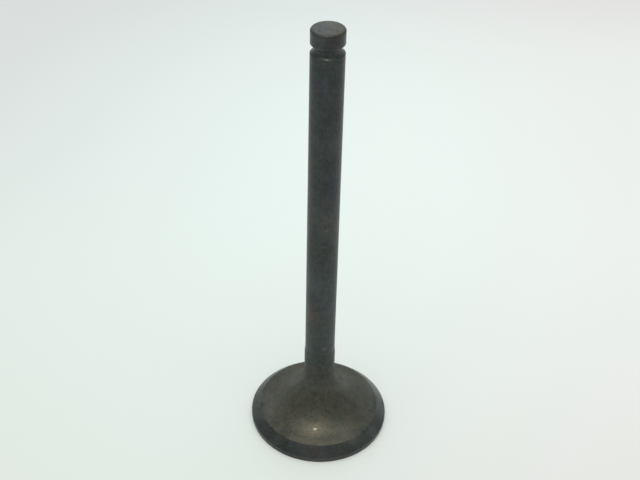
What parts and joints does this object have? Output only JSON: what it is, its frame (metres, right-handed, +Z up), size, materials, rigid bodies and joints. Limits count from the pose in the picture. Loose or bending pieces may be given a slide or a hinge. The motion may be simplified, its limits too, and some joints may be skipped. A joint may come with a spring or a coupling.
{
  "type": "engine valve",
  "caption": "Poppet engine valve turned in one piece: flat head with a bevelled seat, a tulip sweep into a long ground stem, and a keeper groove below a rounded tip edge.",
  "frame": {"origin": "centre of the flat combustion face, on which the valve stands", "axes": "+Z up the stem towards the tip; X and Y across the round head"},
  "size_m": [0.038, 0.038, 0.12],
  "materials": {
    "valve_steel": "dark oxidised, used, satin ground stem"
  },
  "bodies": {
    "root": {"valve": "valve_steel"}
  },
  "joints": []
}
